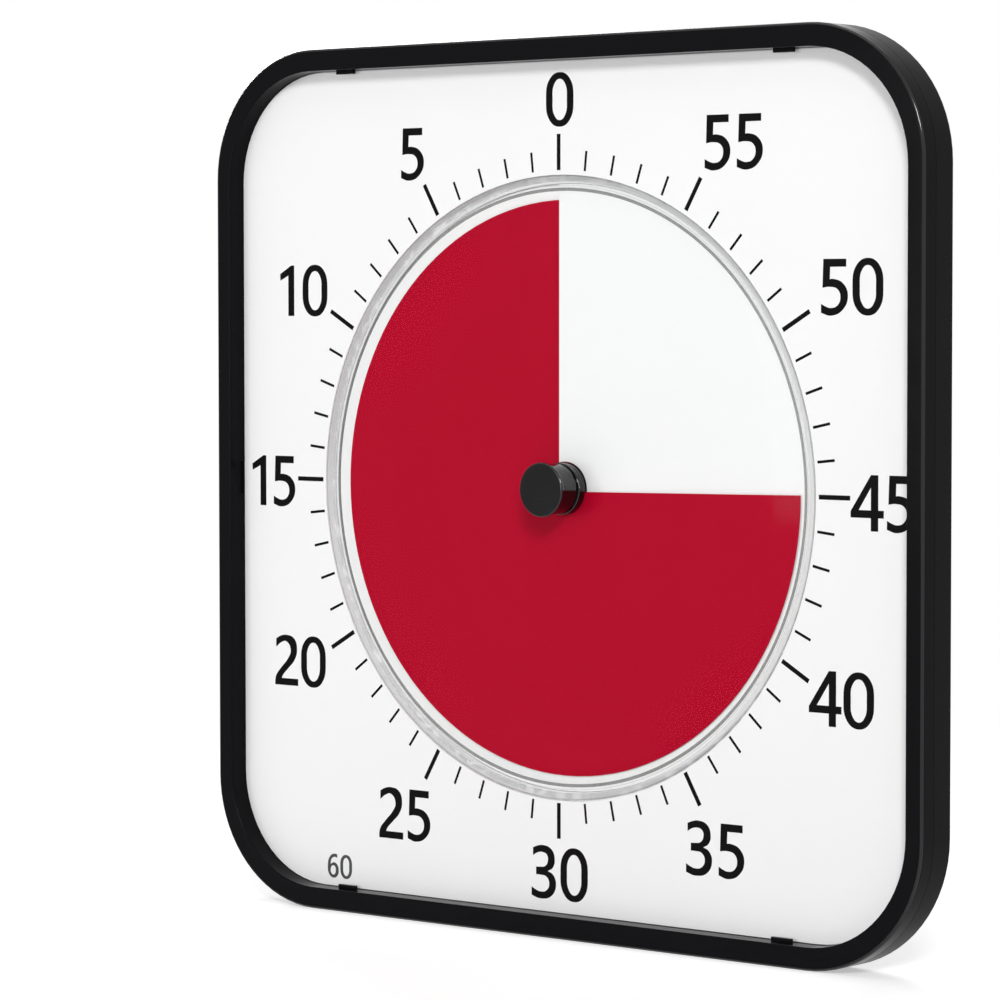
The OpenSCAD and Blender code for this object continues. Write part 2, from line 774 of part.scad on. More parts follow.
module board_parts() {
    // Places as shares of the board's width and height
    function on(x, z) = [board_x0 + x * board_w, board_z0 + z * board_h];
    color([0.15, 0.15, 0.16]) {
        on_board(on(0.3, 0.46), 12, 9, 1.8);
        on_board(on(0.3, 0.26), 6, 5, 1.4);
        on_board(on(0.66, 0.12), 8, 5, 5);
        bar(3, board_d1, board_d1 + 7, on(0.56, 0.43));
        bar(2.2, board_d1, board_d1 + 5, on(0.56, 0.28));
    }
}

module board_screws() {
    color([0.6, 0.6, 0.62]) for (at = board_posts) pan_screw(at, board_d0, 8, screw_r - 0.2, 1.2);
}

module loudspeaker() {
    color([0.25, 0.25, 0.27]) turned([speaker_x, speaker_z]) polygon([
        [0, rear_in - speaker_t], [9, rear_in - speaker_t], [9, rear_in - 4], [speaker_r - 2, rear_in - 2],
        [speaker_r, rear_in - 2], [speaker_r, rear_in - 0.3], [speaker_r - 3, rear_in - 0.3],
        [9, rear_in - 2.6], [0, rear_in - 1.6]]);
}

module speaker_leads() {
    x = speaker_x + 4;
    z = speaker_z + 5;
    color([0.1, 0.1, 0.1]) lead_pair([
        [x, rear_in - speaker_t, z], [x, board_d1 + 1.5, z], [x, board_d1 + 1.5, board_z0 + 4],
        [x, board_d1, board_z0 + 4]]);
}

module range_switch() {
    color([0.2, 0.2, 0.22]) difference() {
        on_board([switch_x, switch_z], slide_w + 6, 9, switch_body_d1 - board_d1);
        dial_slab(switch_body_d1 - 2.5, switch_body_d1 + over) translate([switch_x, switch_z])
            square([slide_w + 2, switch_h + 2 * seat_gap], center = true);
    }
}

module range_switch_knob() {
    x = switch_x + (switch_rest - (switch_places - 1) / 2) * range_step;
    color([0.08, 0.08, 0.09]) dial_slab(switch_body_d1 - 2.2, rear_d + 2) translate([x, switch_z])
        square([switch_w - 2 * seat_gap, switch_h - seat_gap], center = true);
}

module volume_control() {
    color([0.2, 0.2, 0.22]) {
        on_board([volume_x, volume_z], pot_w, pot_w, volume_d0 - 0.4 - board_d1);
        bar(1.5, volume_d0 - 0.5, volume_d0 + volume_t, [volume_x, volume_z]);
    }
}

module volume_wheel() {
    color([0.08, 0.08, 0.09]) dial_slab(volume_d0, volume_d0 + volume_t) translate([volume_x, volume_z])
        difference() {
            circle(volume_r);
            circle(1.5 + running);
            for (i = [0:29]) rotate(12 * i) translate([volume_r, 0]) circle(0.45);
        }
}

// ---------------------------------------------------------------- batteries

// Places something in line with battery i, along X towards its nub
module at_cell(i) {
    translate([cell_mid_x, cell_mid_d - mid_d, dial_z + cell_z(i)]) rotate([0, cell_way(i) * 90, 0]) children();
}

module batteries() {
    color([0.2, 0.35, 0.25]) for (i = [0:cells - 1]) at_cell(i) rotate_extrude() polygon([
        [0, -cell_l / 2], [cell_r - 0.5, -cell_l / 2], [cell_r, 0.5 - cell_l / 2],
        [cell_r, cell_l / 2 - nub_l - 0.5], [cell_r - 0.5, cell_l / 2 - nub_l], [nub_r, cell_l / 2 - nub_l],
        [nub_r, cell_l / 2], [0, cell_l / 2]]);
}

// Conical contact spring from z = 0 to z = l
module contact_spring(l) {
    n = spring_turns * spring_ring;
    points = [for (i = [0:n], k = [0:spring_sides - 1])
        let (t = i / n, r = spring_r - 1.6 * t + spring_wire_r * cos(360 * k / spring_sides),
            z = spring_wire_r + (l - 2 * spring_wire_r) * t - spring_wire_r * sin(360 * k / spring_sides))
        [r * cos(360 * i / spring_ring), r * sin(360 * i / spring_ring), z]];
    last = n * spring_sides;
    sides = [for (i = [0:n - 1], k = [0:spring_sides - 1])
        let (p = i * spring_sides + k, q = i * spring_sides + (k + 1) % spring_sides)
        each [[p, p + spring_sides, q + spring_sides], [p, q + spring_sides, q]]];
    polyhedron(points, concat([[for (k = [0:spring_sides - 1]) k]], sides,
        [[for (k = [spring_sides - 1:-1:0]) last + k]]));
}

module battery_contacts() {
    room = contact_w - contact_t - snug;
    color([0.78, 0.78, 0.8]) {
        for (i = [0:cells - 1]) at_cell(i) {
            for (z = [cell_l / 2 + room, -cell_l / 2 - room - contact_t])
                translate([-contact_half, -contact_half, z])
                    cube([2 * contact_half, 2 * contact_half, contact_t]);
            translate([0, 0, cell_l / 2 + snug]) cylinder(r = 2, h = room);
            translate([0, 0, -cell_l / 2 - room]) contact_spring(room - snug);
        }
        // Strips that join one battery to the next
        for (i = [0:1:cells - 2]) dial_slab(cell_mid_d - contact_half, cell_mid_d + contact_half)
            translate([cell_mid_x - cell_way(i) * (cell_l / 2 + room + contact_t / 2),
                (cell_z(i) + cell_z(i + 1)) / 2]) square([contact_t, cell_pitch], center = true);
    }
}

module battery_leads() {
    x = comp_x1 + rib_t + 3;
    left_x = comp_x0 - rib_t - part_gap / 2;
    under = box_z0 - part_gap / 2;
    end_x = board_x0 + 12;
    end_z = board_z0 + 4;
    color([0.1, 0.1, 0.1]) {
        wire([[comp_x1 - snug, cell_mid_d, cell_z(0)], [x, cell_mid_d, cell_z(0)],
            [x, cell_mid_d, under - 2], [x, lead_d, under - 2], [end_x, lead_d, under - 2],
            [end_x, lead_d, end_z], [end_x, board_d0, end_z]]);
        wire([[comp_x0 + snug, cell_mid_d, cell_z(cells - 1)], [left_x, cell_mid_d, cell_z(cells - 1)],
            [left_x, cell_mid_d, under], [end_x + 2, cell_mid_d, under], [end_x + 2, lead_d, under],
            [end_x + 2, lead_d, end_z], [end_x + 2, board_d0, end_z]]);
    }
}

module battery_door() {
    color([0.06, 0.06, 0.065]) {
        difference() {
            dial_slab(rear_in, rear_d) area(door_x0 + door_gap, door_z0, door_x1 - door_gap, door_z1 - door_gap);
            for (i = [0:4]) dial_slab(rear_d - 0.6, rear_d + over)
                area(cell_mid_x - 10, door_z0 + 8 + 2.5 * i, cell_mid_x + 10, door_z0 + 9 + 2.5 * i);
        }
        for (e = [[door_x0, 1], [door_x1, -1]]) translate([e[0], 0, 0]) mirror([e[1] < 0 ? 1 : 0, 0, 0]) {
            dial_slab(door_rail_d0, rear_in - door_gap) area(-door_lap, in_z0, door_web_w, door_z1 - 4);
            dial_slab(rear_in - door_gap - 0.1, rear_in + 0.1)
                area(door_gap, in_z0, door_web_w, door_z1 - 4);
        }
        dial_slab(frame_d + door_gap, rear_d)
            area(door_x0 + door_gap, door_z0, door_x1 - door_gap, in_z0 - door_gap);
    }
}

// ---------------------------------------------------------------- rear shell

module housing_outline(grow = 0) {
    translate([house_x, house_z])
        rounded(house_w + 2 * grow, house_h + 2 * grow, housing_r + grow);
}

// Foot pocket of the right-hand foot, walled by the given thickness
module foot_pocket(t) {
    translate([0, -dial_z]) area(pocket_in - t, t > 0 ? 0 : -over, pocket_out + t, pocket_h + t);
}

module grille() {
    for (ring = [0:2], i = [0:max(0, 6 * ring - 1)])
        translate([speaker_x, speaker_z] + polar(5 * ring, 360 * i / max(1, 6 * ring))) circle(1.25);
}

module hanger() {
    circle(hanger_r);
    translate([-hanger_r / 2, 0]) square([hanger_r, 2 * hanger_r]);
    translate([0, 2 * hanger_r]) circle(hanger_r / 2);
}

// Profile of a solid's rim from depth d0 to a rounded edge at depth d1
module rim_profile(d0, d1) {
    polygon(concat([[0, d0], [rim_overlap, d0], [rim_overlap, d1]],
        arc([rear_edge_r, d1 - rear_edge_r], rear_edge_r, 90, 180)));
}

module shell_skin() {
    shell_d0 = bezel_d + seam_gap;
    house_d0 = frame_d - back_wall / 2;
    difference() {
        union() {
            round_sweep(frame_w, frame_h, corner_r) rim_profile(shell_d0, frame_d);
            dial_slab(shell_d0, frame_d) frame_outline(rim_overlap - over);
            round_sweep(house_w, house_h, housing_r, [house_x, house_z]) rim_profile(house_d0, rear_d);
            dial_slab(house_d0, rear_d) housing_outline(over - rim_overlap);
        }
        dial_slab(shell_d0 - over, back_d0) frame_outline(side_wall);
        dial_slab(back_d0 - over, rear_in) housing_outline(-wall);
    }
}

module shell_posts() {
    for (at = case_screw_at) bar(case_post_r, tray_d1, back_d0 + 0.1, at);
    for (at = board_posts) bar(board_post_r, board_d1, rear_in + 0.1, at);
    for (at = posts) bar(board_post_r, base_d1, rear_in + 0.1, at);
}

module compartment_walls() {
    dial_slab(comp_d0, rear_in + 0.1) difference() {
        area(comp_x0 - rib_t, in_z0 - 0.1, comp_x1 + rib_t, comp_z1 + rib_t);
        area(comp_x0, in_z0 - over, comp_x1, comp_z1);
    }
    dial_slab(comp_d0, comp_d0 + rib_t)
        area(comp_x0 - rib_t, in_z0 - 0.1, comp_x1 + rib_t, comp_z1 + rib_t);
}

module shell_cuts() {
    for (at = case_screw_at) {
        bar(screw_r + 0.2, tray_d1 - over, frame_d, at);
        bar(screw_head_r + seat_gap, head_seat, frame_d + over, at);
    }
    for (at = board_posts) bar(screw_r - 0.2 + running, board_d1 - over, board_d1 + 8, at);
    for (s = [-1, 1]) dial_slab(back_d0 - over, frame_d + over)
        translate([s * hanger_x, frame_h / 2 - hanger_drop]) hanger();
    dial_slab(rear_in - over, rear_d + over) grille();
    dial_slab(rear_in - over, rear_d + over) translate([switch_x, switch_z])
        square([slide_w + 2 * seat_gap, switch_h + 2 * seat_gap], center = true);
    dial_slab(volume_d0 - 1, volume_d0 + volume_t + 1)
        area(in_x1 - 0.1, volume_z - volume_r, in_x1 + wall + over, volume_z + volume_r);
    dial_slab(rear_in - 0.5, rear_d + over) area(door_x0, door_z0 - over, door_x1, door_z1);
    dial_slab(frame_d, rear_d + over) area(door_x0, door_z0 - over, door_x1, in_z0 + 0.1);
    dial_slab(door_rail_d0 - door_gap, rear_in)
        area(comp_x0 - door_gap, in_z0 - wall - over, comp_x1 + door_gap, door_z1);
    dial_slab(cell_mid_d - 1.5, cell_mid_d + 1.5) {
        area(comp_x1 - over, cell_z(0) - 1.5, comp_x1 + rib_t + over, cell_z(0) + 1.5);
        area(comp_x0 - rib_t - over, cell_z(cells - 1) - 1.5, comp_x0 + over, cell_z(cells - 1) + 1.5);
    }
}

// Lugs that hold a foot's pin above and below
module foot_lugs() {
    for (z = [[0, foot_lug_h], [pocket_h - 4.1, pocket_h + 0.1]]) {
        upright(barrel_foot_r + 0.2, z[0], z[1]);
        translate([foot_x - barrel_foot_r - 0.2, pocket_d0 - mid_d - 0.1, z[0]])
            cube([2 * barrel_foot_r + 0.4, foot_pin_d - pocket_d0, z[1] - z[0]]);
    }
}

module rear_shell() {
    color([0.05, 0.05, 0.055]) union() {
        difference() {
            union() {
                difference() {
                    union() {
                        shell_skin();
                        for (s = [0, 1]) mirror([s, 0, 0])
                            dial_slab(pocket_d0 - pocket_wall, back_d0 + 0.1) foot_pocket(pocket_wall);
                    }
                    for (s = [0, 1]) mirror([s, 0, 0])
                        dial_slab(pocket_d0, frame_d + over) foot_pocket(0);
                }
                shell_posts();
                compartment_walls();
                for (s = [0, 1]) mirror([s, 0, 0]) foot_lugs();
            }
            shell_cuts();
            for (s = [0, 1]) mirror([s, 0, 0]) upright(foot_pin_r + snug, 1, pocket_h - 0.8);
        }
    }
}

// ---------------------------------------------------------------- feet and fasteners

// The right-hand foot, swung out
module foot() {
    y0 = foot_pin_d - mid_d;
    difference() {
        union() {
            upright(barrel_foot_r, barrel_z0, barrel_z1);
            translate([foot_x - foot_t / 2, y0, barrel_z0]) cube([foot_t, foot_root + 1, barrel_z1 - barrel_z0]);
            translate([foot_x + foot_t / 2, 0, 0]) rotate([90, 0, -90]) linear_extrude(foot_t) polygon([
                [-y0 - foot_root, foot_rise], [-y0 - foot_root, foot_h], [-y0 - foot_l / 3, foot_h],
                [-y0 - foot_l + 4, foot_tip_h], [-y0 - foot_l, foot_tip_h - 4], [-y0 - foot_l, foot_rise]]);
            translate([foot_x, y0 + pad_at, foot_rise]) cylinder(r = pad_r + pad_wall, h = pad_boss_h);
        }
        upright(foot_pin_r + running, barrel_z0 - over, barrel_z1 + over);
        translate([foot_x, y0 + pad_at, foot_rise - over]) cylinder(r = pad_r + snug, h = over + pad_t - foot_rise);
    }
}

module foot_pad() {
    translate([foot_x, foot_pin_d - mid_d + pad_at, 0]) cylinder(r = pad_r, h = pad_t);
}

module left_foot() { color([0.06, 0.06, 0.065]) mirror([1, 0, 0]) foot(); }
module right_foot() { color([0.06, 0.06, 0.065]) foot(); }
module left_foot_pad() { color([0.2, 0.2, 0.2]) mirror([1, 0, 0]) foot_pad(); }
module right_foot_pad() { color([0.2, 0.2, 0.2]) foot_pad(); }

module foot_pins() {
    color([0.7, 0.7, 0.72]) for (s = [0, 1]) mirror([s, 0, 0]) upright(foot_pin_r, 1.2, pocket_h - 1);
}

module case_screws() {
    color([0.5, 0.5, 0.52]) for (at = case_screw_at) {
        bar(screw_r, screw_d0, head_seat, at);
        bar(screw_head_r, head_seat, head_seat + head_h, at);
    }
}

front_bezel();
rear_shell();
scale_card();
dial_tray();
lens();
slotted_dial();
red_disc();
disc_hub();
knob();
spindle();
spindle_bush();
spindle_clips();
clutch_hub();
clutch_spring();
main_wheel();
second_wheel();
third_wheel();
gear_pins();
gearbox_cover();
gearbox_base();
gearbox_screws();
drive_motor();
motor_pinion();
motor_leads();
circuit_board();
board_parts();
board_screws();
loudspeaker();
speaker_leads();
range_switch();
range_switch_knob();
volume_control();
volume_wheel();
battery_door();
batteries();
battery_contacts();
battery_leads();
left_foot();
right_foot();
left_foot_pad();
right_foot_pad();
foot_pins();
case_screws();
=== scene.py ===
# Visual countdown timer: printed scale, moulded black case, clear lens and wound discs.
# Lengths in this file are in millimetres until they reach Blender, which works in metres.
# X runs to the right, Z up, and the dial faces -Y. Depths are measured backwards from the frame's front.
import json
from math import cos, hypot, pi, radians, sin

import bpy
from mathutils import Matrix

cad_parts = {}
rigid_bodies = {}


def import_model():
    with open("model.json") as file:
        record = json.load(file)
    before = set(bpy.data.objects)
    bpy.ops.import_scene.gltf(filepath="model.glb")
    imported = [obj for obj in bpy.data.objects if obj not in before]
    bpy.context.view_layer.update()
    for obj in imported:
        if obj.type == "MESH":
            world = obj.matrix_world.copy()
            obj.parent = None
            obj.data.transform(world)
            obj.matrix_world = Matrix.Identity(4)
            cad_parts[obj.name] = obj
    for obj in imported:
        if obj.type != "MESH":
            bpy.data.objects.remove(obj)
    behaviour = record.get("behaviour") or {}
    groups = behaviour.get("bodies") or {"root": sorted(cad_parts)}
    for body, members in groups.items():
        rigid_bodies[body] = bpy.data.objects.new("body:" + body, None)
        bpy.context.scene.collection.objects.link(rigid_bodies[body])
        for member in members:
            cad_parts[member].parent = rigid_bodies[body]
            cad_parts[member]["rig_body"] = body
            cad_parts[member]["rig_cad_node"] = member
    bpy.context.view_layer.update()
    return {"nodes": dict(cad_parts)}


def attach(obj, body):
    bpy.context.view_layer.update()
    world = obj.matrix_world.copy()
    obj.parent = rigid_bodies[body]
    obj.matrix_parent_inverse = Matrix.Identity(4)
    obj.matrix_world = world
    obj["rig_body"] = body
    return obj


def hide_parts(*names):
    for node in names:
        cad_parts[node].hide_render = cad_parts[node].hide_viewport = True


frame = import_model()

# Places shared with the solids
FRAME_W = 432    # width and height of the case
FRAME_D = 24     # depth of the case, without the housing on its back
CORNER_R = 64    # rounding of the case's corners
BAND_W = 9.2     # width of the frame's front
MID_D = 12       # depth at which Y is 0
DIAL_Z = 216     # height of the dial's middle
FACE_D = 10.3    # depth of the card's face


def metres(*lengths):
    """Lengths in millimetres as a tuple in metres"""
    return tuple(length / 1000 for length in lengths)


def place(x, d, z):
    """Point in metres, from x and z off the dial's middle and the depth behind the frame's front"""
    return metres(x, d - MID_D, DIAL_Z + z)


# ------------------------------------------------------------ camera

CAMERA_AT = (1.20966, -1.50884, 0.30407)
CAMERA_TURN = (radians(87.2331), radians(0.0581), radians(39.5859))
LENS_LENGTH, SENSOR_W = 144.94, 36

bpy.ops.object.camera_add(location=CAMERA_AT, rotation=CAMERA_TURN)
camera = bpy.context.object
camera.data.lens = LENS_LENGTH
camera.data.sensor_width = SENSOR_W
bpy.context.scene.camera = camera
bpy.context.scene.view_settings.view_transform = "Standard"


# ------------------------------------------------------------ materials

NOISE_LOW, NOISE_HIGH = 0.3, 0.7    # between these lies nearly all of a speckle
SHADE = 0.94                        # of a colour's darker mottle, where none is given


def new_finish(name):
    """Empty node material with a Principled shader, its output and the piece's own coordinates"""
    material = bpy.data.materials.new(name)
    material.use_nodes = True
    tree = material.node_tree
    shader = tree.nodes["Principled BSDF"]
    own = tree.nodes.new("ShaderNodeTexCoord")
    mapping = tree.nodes.new("ShaderNodeMapping")
    tree.links.new(own.outputs["Object"], mapping.inputs["Vector"])
    return material, tree, shader, mapping


def speckle(tree, mapping, scale, detail=4.0, roughness=0.55):
    """Noise over the piece's own coordinates"""
    noise = tree.nodes.new("ShaderNodeTexNoise")
    noise.inputs["Scale"].default_value = scale
    noise.inputs["Detail"].default_value = detail
    noise.inputs["Roughness"].default_value = roughness
    tree.links.new(mapping.outputs["Vector"], noise.inputs["Vector"])
    return noise.outputs["Fac"]


def spread(tree, value, low, high):
    """The value's middle range stretched from low to high"""
    stretch = tree.nodes.new("ShaderNodeMapRange")
    stretch.inputs["From Min"].default_value = NOISE_LOW
    stretch.inputs["From Max"].default_value = NOISE_HIGH
    stretch.inputs["To Min"].default_value = low
    stretch.inputs["To Max"].default_value = high
    tree.links.new(value, stretch.inputs["Value"])
    return stretch.outputs["Result"]


def maths(tree, operation, first, second):
    """Math node on two values, each a number or another node's output"""
    node = tree.nodes.new("ShaderNodeMath")
    node.operation = operation
    for value, socket in zip((first, second), node.inputs):
        if isinstance(value, (int, float)):
            socket.default_value = value
        else:
            tree.links.new(value, socket)
    return node.outputs["Value"]


def mixed(tree, share, first, second):
    """Mix of two shaders by a share, which is a number or another node's output"""
    mix = tree.nodes.new("ShaderNodeMixShader")
    if isinstance(share, float):
        mix.inputs["Fac"].default_value = share
    else:
        tree.links.new(share, mix.inputs["Fac"])
    tree.links.new(first, mix.inputs[1])
    tree.links.new(second, mix.inputs[2])
    return mix.outputs["Shader"]


def finish(name, colour, other=None, mottle=25, rough=(0.3, 0.4), rough_scale=60, grain=900, relief=0.02,
           height=0.00001, specular=0.5, metal=0.0, coat=0.0, stretch=(1, 1, 1)):
    """Moulded, printed or metal surface: mottled colour, uneven gloss and a fine relief"""
    material, tree, shader, mapping = new_finish(name)
    mapping.inputs["Scale"].default_value = stretch
    ramp = tree.nodes.new("ShaderNodeValToRGB")
    ramp.color_ramp.elements[0].position = NOISE_LOW
    ramp.color_ramp.elements[0].color = (*colour, 1)
    ramp.color_ramp.elements[1].position = NOISE_HIGH
    ramp.color_ramp.elements[1].color = (*(other or [SHADE * c for c in colour]), 1)
    tree.links.new(speckle(tree, mapping, mottle), ramp.inputs["Fac"])
    tree.links.new(ramp.outputs["Color"], shader.inputs["Base Color"])
    tree.links.new(spread(tree, speckle(tree, mapping, rough_scale), *rough), shader.inputs["Roughness"])
    bump = tree.nodes.new("ShaderNodeBump")
    bump.inputs["Strength"].default_value = relief
    bump.inputs["Distance"].default_value = height
    tree.links.new(speckle(tree, mapping, grain, 2), bump.inputs["Height"])
    tree.links.new(bump.outputs["Normal"], shader.inputs["Normal"])
    shader.inputs["Specular IOR Level"].default_value = specular
    shader.inputs["Metallic"].default_value = metal
    shader.inputs["Coat Weight"].default_value = coat
    return material


# Black plastics of the case, knob, door and feet
gloss_black = finish("gloss black plastic", (0.0052, 0.005, 0.006), rough=(0.1, 0.16), grain=300,
                     relief=0.1, height=0.000003, specular=0.035)
edge_black = finish("polished black edge", (0.0045, 0.0043, 0.005), rough=(0.1, 0.14), grain=300,
                    relief=0.05, height=0.000002, specular=0.4)
knob_black = finish("knob black plastic", (0.004, 0.0038, 0.0044), rough=(0.06, 0.12), grain=500,
                    relief=0.1, height=0.000003, specular=0.5)
face_black = finish("knob face plastic", (0.0046, 0.0044, 0.005), rough=(0.22, 0.3), grain=900,
                    relief=0.1, height=0.000003, specular=0.14)
satin_black = finish("satin black plastic", (0.0075, 0.0075, 0.0085), rough=(0.36, 0.46), grain=1500,
                     relief=0.5, height=0.00002, specular=0.25)
shell_black = finish("shell black plastic", (0.0082, 0.008, 0.0087), rough=(0.26, 0.34), grain=900,
                     relief=0.2, height=0.000006, specular=0.03)
rear_black = finish("textured black plastic", (0.017, 0.017, 0.018), (0.0145, 0.0145, 0.0155), mottle=400,
                    rough=(0.36, 0.48), grain=1800, relief=0.6, height=0.00003, specular=0.22)
rubber = finish("black rubber", (0.02, 0.02, 0.02), rough=(0.65, 0.8), grain=1600, relief=0.4, specular=0.3)

# Card, print and the two films of the dial
card_white = finish("printed card", (0.885, 0.885, 0.89), (0.875, 0.876, 0.88), mottle=12,
                    rough=(0.5, 0.6), grain=1400, relief=0.3, height=0.000008, specular=0.15)
ink_black = finish("printed black ink", (0.0034, 0.003, 0.0032), rough=(0.4, 0.5), grain=1400,
                   relief=0.3, height=0.000008, specular=0.04)
ink_grey = finish("printed grey ink", (0.075, 0.075, 0.078), rough=(0.4, 0.5), grain=1400,
                  relief=0.3, height=0.000008, specular=0.08)
film_white = finish("white film", (0.885, 0.889, 0.885), (0.875, 0.879, 0.875), mottle=8,
                    rough=(0.42, 0.5), grain=500, relief=0.1, height=0.000004, specular=0.1)
film_red = finish("red film", (0.428, 0.0018, 0.0208), (0.418, 0.0016, 0.0198), mottle=9,
                  rough=(0.42, 0.5), grain=500, relief=0.1, height=0.000004, specular=0.03)

# Works inside the case
tray_white = finish("tray white plastic", (0.78, 0.78, 0.79), rough=(0.45, 0.55), grain=1200, relief=0.1)
steel = finish("bright steel", (0.6, 0.6, 0.62), (0.52, 0.52, 0.54), mottle=200, rough=(0.22, 0.34),
               grain=2500, relief=0.1, metal=1.0, stretch=(1, 1, 6))
brass = finish("turned brass", (0.78, 0.58, 0.27), (0.7, 0.5, 0.22), mottle=150, rough=(0.2, 0.32),
               grain=2500, relief=0.1, metal=1.0, stretch=(1, 5, 1))
gear_white = finish("gear acetal", (0.85, 0.84, 0.78), rough=(0.35, 0.45), grain=900, relief=0.08)
box_grey = finish("gearbox plastic", (0.55, 0.55, 0.53), rough=(0.45, 0.55), grain=900, relief=0.12)
board_green = finish("board lacquer", (0.025, 0.17, 0.075), (0.02, 0.13, 0.055), mottle=60,
                     rough=(0.25, 0.35), grain=700, relief=0.15)
chip_black = finish("component black", (0.03, 0.03, 0.033), rough=(0.45, 0.6), grain=1500, relief=0.3)
speaker_dark = finish("loudspeaker frame", (0.07, 0.07, 0.08), rough=(0.35, 0.45), grain=1100, relief=0.15)
red_lead = finish("red lead cover", (0.45, 0.02, 0.02), rough=(0.35, 0.45), grain=900, relief=0.1)
black_lead = finish("black lead cover", (0.02, 0.02, 0.02), rough=(0.35, 0.45), grain=900, relief=0.1)
cell_green = finish("cell sleeve", (0.04, 0.16, 0.08), (0.035, 0.14, 0.07), mottle=40,
                    rough=(0.15, 0.25), grain=600, relief=0.05, coat=0.3)

TINT_SCALE = 15     # speckles of a clear plastic's tint and of its gloss
GLOSS_SCALE = 12


def clear_plastic(name, tint, other, ior, cloud=None, rough=(0.14, 0.18)):
    """Clear styrene: what lies behind shows through, tinted, under a gloss on the outer side.

    Cloud is (share, grey) of a hazy part. A darker tint and a grey cloud are painted shade: they stand in for
    shaded parts that the plastic shows behind it by refraction. Light passes through to what lies behind.
    """
    material, tree, shader, mapping = new_finish(name)
    nodes, links = tree.nodes, tree.links
    see_through = nodes.new("ShaderNodeBsdfTransparent")
    ramp = nodes.new("ShaderNodeValToRGB")
    ramp.color_ramp.elements[0].color = (*tint, 1)
    ramp.color_ramp.elements[1].color = (*other, 1)
    links.new(speckle(tree, mapping, TINT_SCALE), ramp.inputs["Fac"])
    links.new(ramp.outputs["Color"], see_through.inputs["Color"])
    behind = see_through.outputs["BSDF"]
    if cloud:
        share, grey = cloud
        haze = nodes.new("ShaderNodeBsdfDiffuse")
        haze.inputs["Color"].default_value = (grey, grey, grey, 1)
        behind = mixed(tree, share, behind, haze.outputs["BSDF"])
    gloss = nodes.new("ShaderNodeBsdfGlossy")
    links.new(spread(tree, speckle(tree, mapping, GLOSS_SCALE), *rough), gloss.inputs["Roughness"])
    fresnel = nodes.new("ShaderNodeFresnel")
    fresnel.inputs["IOR"].default_value = ior
    geometry = nodes.new("ShaderNodeNewGeometry")
    outside = maths(tree, "SUBTRACT", 1, geometry.outputs["Backfacing"])
    shine = maths(tree, "MULTIPLY", fresnel.outputs["Fac"], outside)
    surface = mixed(tree, shine, behind, gloss.outputs["BSDF"])
    path = nodes.new("ShaderNodeLightPath")
    open_way = nodes.new("ShaderNodeBsdfTransparent")
    lit = mixed(tree, path.outputs["Is Shadow Ray"], surface, open_way.outputs["BSDF"])
    links.new(lit, nodes["Material Output"].inputs["Surface"])
    nodes.remove(shader)
    return material


clear = clear_plastic("clear styrene", (0.995, 0.998, 0.997), (0.992, 0.996, 0.995), 1.1,
                      rough=(0.03, 0.05))
# The darker tints and grey clouds of the rim's slope, fine line, outer edge and crease are painted shade.
# They stand in for the shaded tray and well that the real rim shows by refraction.
rim_painted_shade = clear_plastic("clear styrene rim with painted shade", (0.93, 0.935, 0.935), (0.92, 0.925, 0.925), 1.25,
                          (0.34, 0.62))
clear_foot = clear_plastic("clear styrene foot", (0.98, 0.985, 0.985), (0.97, 0.975, 0.975), 1.25,
                           (0.25, 0.88))
fine_line_painted_shade = clear_plastic("clear styrene line with painted shade", (0.86, 0.87, 0.87), (0.83, 0.84, 0.84), 1.25, (0.35, 0.5))
outer_edge_painted_shade = clear_plastic("clear styrene edge with painted shade", (0.72, 0.73, 0.73), (0.66, 0.67, 0.67), 1.3, (0.4, 0.4))
crease_painted_shade = clear_plastic("clear styrene crease with painted shade", (0.55, 0.56, 0.56), (0.5, 0.51, 0.51), 1.2,
                             (0.5, 0.13))


# ------------------------------------------------------------ making pieces

WELD = 0.000001          # points closer than this are one
SOLID_WELD = 0.000002    # the same in a solid's loose triangles
FLAT = radians(0.3)      # faces that turn less than this are one flat face


def nothing_selected():
    if bpy.context.mode != "OBJECT":
        bpy.ops.object.mode_set(mode="OBJECT")
    bpy.ops.object.select_all(action="DESELECT")


def only(piece):
    """Makes the piece the one that is selected and active"""
    nothing_selected()
    piece.select_set(True)
    bpy.context.view_layer.objects.active = piece


def settle(piece):
    """Moves the piece's place into its mesh"""
    only(piece)
    bpy.ops.object.transform_apply(location=True, rotation=True, scale=True)


def edit(piece):
    only(piece)
    bpy.ops.object.mode_set(mode="EDIT")
    bpy.ops.mesh.select_all(action="SELECT")


def close_up(piece):
    """Merges what coincides, turns the faces outwards and leaves edit mode"""
    edit(piece)
    bpy.ops.mesh.remove_doubles(threshold=WELD)
    bpy.ops.mesh.normals_make_consistent(inside=False)
    bpy.ops.object.mode_set(mode="OBJECT")


def smooth(piece, angle):
    only(piece)
    bpy.ops.object.shade_smooth_by_angle(angle=radians(angle))


def apply(piece, kind, **settings):
    """Adds a modifier with these settings and applies it"""
    only(piece)
    modifier = piece.modifiers.new(kind.lower(), kind)
    for setting, value in settings.items():
        setattr(modifier, setting, value)
    bpy.ops.object.modifier_apply(modifier=modifier.name)


def finished(piece, name, body, material):
    """Names the piece, gives it its material and puts it on its body"""
    piece.name = piece.data.name = name
    piece.data.materials.clear()
    piece.data.materials.append(material)
    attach(piece, body)
    return piece


def joined(pieces):
    nothing_selected()
    for piece in pieces:
        piece.select_set(True)
    bpy.context.view_layer.objects.active = pieces[0]
    bpy.ops.object.join()
    return bpy.context.object


def chain(points):
    """Mesh of one open line through points in metres, begun from a plane drawn together to its first point"""
    nothing_selected()
    bpy.ops.mesh.primitive_plane_add(size=0.001, location=points[0])
    line = bpy.context.object
    settle(line)
    edit(line)
    bpy.ops.mesh.merge(type="CENTER")
    for before, after in zip(points, points[1:]):
        step = [b - a for a, b in zip(before, after)]
        bpy.ops.mesh.extrude_region_move(TRANSFORM_OT_translate={"value": step})
    return line


